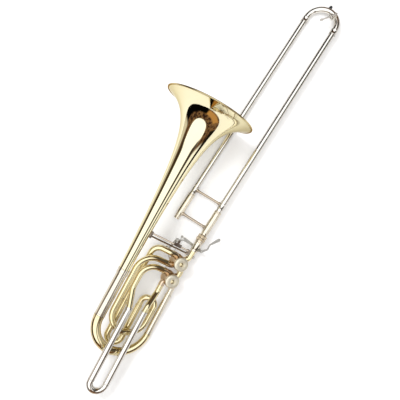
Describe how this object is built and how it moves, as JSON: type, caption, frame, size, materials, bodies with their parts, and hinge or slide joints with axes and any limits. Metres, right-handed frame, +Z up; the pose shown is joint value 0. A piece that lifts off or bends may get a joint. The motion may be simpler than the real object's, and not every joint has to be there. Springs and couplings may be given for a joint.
{
  "type": "bass trombone",
  "caption": "Bass trombone with in-line rotary valves, hand slide, tuning slides, levers and links, lying on a surface.",
  "frame": {"origin": "middle of the footprint, on the surface that the instrument lies on", "axes": "+Z up, +Y from the mouthpiece end towards the slide crook and the bell's mouth"},
  "size_m": [0.3194, 1.225, 0.2404],
  "materials": {
    "yellow_brass": "clear lacquer over polished yellow brass",
    "nickel_silver": "polished nickel silver",
    "polished_steel": "polished steel",
    "cork": "plain cork",
    "black_rubber": "matt black rubber"
  },
  "bodies": {
    "bell_section": {"bearing_plate_1": "nickel_silver", "bearing_plate_2": "nickel_silver", "bell": "yellow_brass", "bell_brace": "nickel_silver", "cork_barrel_lower": "nickel_silver", "cork_barrel_upper": "nickel_silver", "f_arch": "yellow_brass", "f_crook": "yellow_brass", "f_loop": "yellow_brass", "g_crook": "yellow_brass", "g_return": "yellow_brass", "gooseneck": "yellow_brass", "hand_brace": "nickel_silver", "inner_tube_lower": "nickel_silver", "inner_tube_upper": "nickel_silver", "mouthpiece_receiver": "nickel_silver", "neck_receiver": "nickel_silver", "second_lever_saddle": "nickel_silver", "second_lever_spring": "polished_steel", "slide_tenon": "nickel_silver", "stop_cork_1a": "cork", "stop_cork_1b": "cork", "stop_cork_2a": "cork", "stop_cork_2b": "cork", "stop_plate_1": "polished_steel", "stop_plate_2": "polished_steel", "thumb_lever_post": "nickel_silver", "thumb_lever_spring": "polished_steel", "tuning_sleeve_bell": "nickel_silver", "tuning_sleeve_neck": "nickel_silver", "valve_cap_1": "yellow_brass", "valve_cap_2": "yellow_brass", "valve_casing_1": "yellow_brass", "valve_casing_2": "yellow_brass", "valve_link_tube": "yellow_brass"},
    "outer_slide": {"outer_tube_upper": "nickel_silver", "outer_tube_lower": "nickel_silver", "outer_brace": "nickel_silver", "slide_crook": "nickel_silver", "crook_ferrule_upper": "nickel_silver", "crook_ferrule_lower": "nickel_silver", "slide_bumper": "black_rubber", "water_key_saddle": "nickel_silver", "water_key_spring": "polished_steel"},
    "water_key": {"water_key_lever": "nickel_silver", "water_key_cork": "cork"},
    "lock_ring": {"slide_lock_ring": "nickel_silver"},
    "slide_nut": {"slide_nut": "nickel_silver"},
    "main_slide": {"main_tuning_slide": "yellow_brass"},
    "first_valve_slide": {"f_tuning_slide": "yellow_brass"},
    "second_valve_slide": {"g_tuning_slide": "nickel_silver"},
    "thumb_lever": {"thumb_lever": "polished_steel"},
    "link_rod_1": {"link_rod_1": "polished_steel"},
    "rotor_1": {"rotor_1": "polished_steel", "stop_arm_1": "polished_steel"},
    "second_lever": {"second_lever": "polished_steel"},
    "link_rod_2": {"link_rod_2": "polished_steel"},
    "rotor_2": {"rotor_2": "polished_steel", "stop_arm_2": "polished_steel"}
  },
  "joints": [
    {"name": "hand_slide", "type": "slide", "parent": "bell_section", "child": "outer_slide", "axis": [0.0001, 1, -0.0008], "range_m": [0, 0.58]},
    {"name": "water_key_press", "type": "hinge", "parent": "outer_slide", "child": "water_key", "pos_m": [0.08533, 0.57476, 0.03674], "axis": [0.7764, -0.6157, 0.1346], "range_deg": [0, 12], "stiffness_Nm_per_rad": 0.03, "springref_deg": -17.19},
    {"name": "lock_ring_turn", "type": "hinge", "parent": "bell_section", "child": "lock_ring", "pos_m": [0.11373, -0.1297, 0.02521], "axis": [0.0001, 1, -0.0008], "range_deg": [0, 60]},
    {"name": "slide_nut_turn", "type": "hinge", "parent": "bell_section", "child": "slide_nut", "pos_m": [0.11373, -0.1381, 0.02522], "axis": [0.0001, 1, -0.0008], "continuous": true},
    {"name": "main_slide_pull", "type": "slide", "parent": "bell_section", "child": "main_slide", "axis": [0.0765, -0.9943, -0.0742], "range_m": [0, 0.075]},
    {"name": "first_valve_slide_pull", "type": "slide", "parent": "bell_section", "child": "first_valve_slide", "axis": [0.0765, -0.9943, -0.0742], "range_m": [0, 0.045]},
    {"name": "second_valve_slide_pull", "type": "slide", "parent": "bell_section", "child": "second_valve_slide", "axis": [0.0765, -0.9943, -0.0742], "range_m": [0, 0.12]},
    {"name": "thumb_lever_press", "type": "hinge", "parent": "bell_section", "child": "thumb_lever", "pos_m": [0.06971, -0.17702, 0.04995], "axis": [0.4808, -0.0284, 0.8764], "range_deg": [0, 36.04], "stiffness_Nm_per_rad": 0.06, "springref_deg": -20.05},
    {"name": "link_rod_1_turn", "type": "hinge", "parent": "thumb_lever", "child": "link_rod_1", "pos_m": [0.06339, -0.2083, 0.0524], "axis": [0.4808, -0.0284, 0.8764], "range_deg": [-36.04, 0]},
    {"name": "rotor_1_turn", "type": "hinge", "parent": "bell_section", "child": "rotor_1", "pos_m": [0.09729, -0.22395, 0.0333], "axis": [0.4808, -0.0284, 0.8764], "range_deg": [0, 90]},
    {"name": "second_lever_press", "type": "hinge", "parent": "bell_section", "child": "second_lever", "pos_m": [0.12721, -0.16826, 0.01869], "axis": [0.4808, -0.0284, 0.8764], "range_deg": [0, 22.98], "stiffness_Nm_per_rad": 0.06, "springref_deg": -20.05},
    {"name": "link_rod_2_turn", "type": "hinge", "parent": "second_lever", "child": "link_rod_2", "pos_m": [0.0839, -0.16342, 0.0426], "axis": [0.4808, -0.0284, 0.8764], "range_deg": [-22.98, 0]},
    {"name": "rotor_2_turn", "type": "hinge", "parent": "bell_section", "child": "rotor_2", "pos_m": [0.10104, -0.27267, 0.02966], "axis": [0.4808, -0.0284, 0.8764], "range_deg": [0, 90]}
  ],
  "couplings": [
    {"joint": "thumb_lever_press", "follows": "rotor_1_turn", "ratio": 0.40046},
    {"joint": "link_rod_1_turn", "follows": "rotor_1_turn", "ratio": -0.40046},
    {"joint": "second_lever_press", "follows": "rotor_2_turn", "ratio": 0.25532},
    {"joint": "link_rod_2_turn", "follows": "rotor_2_turn", "ratio": -0.25532}
  ]
}
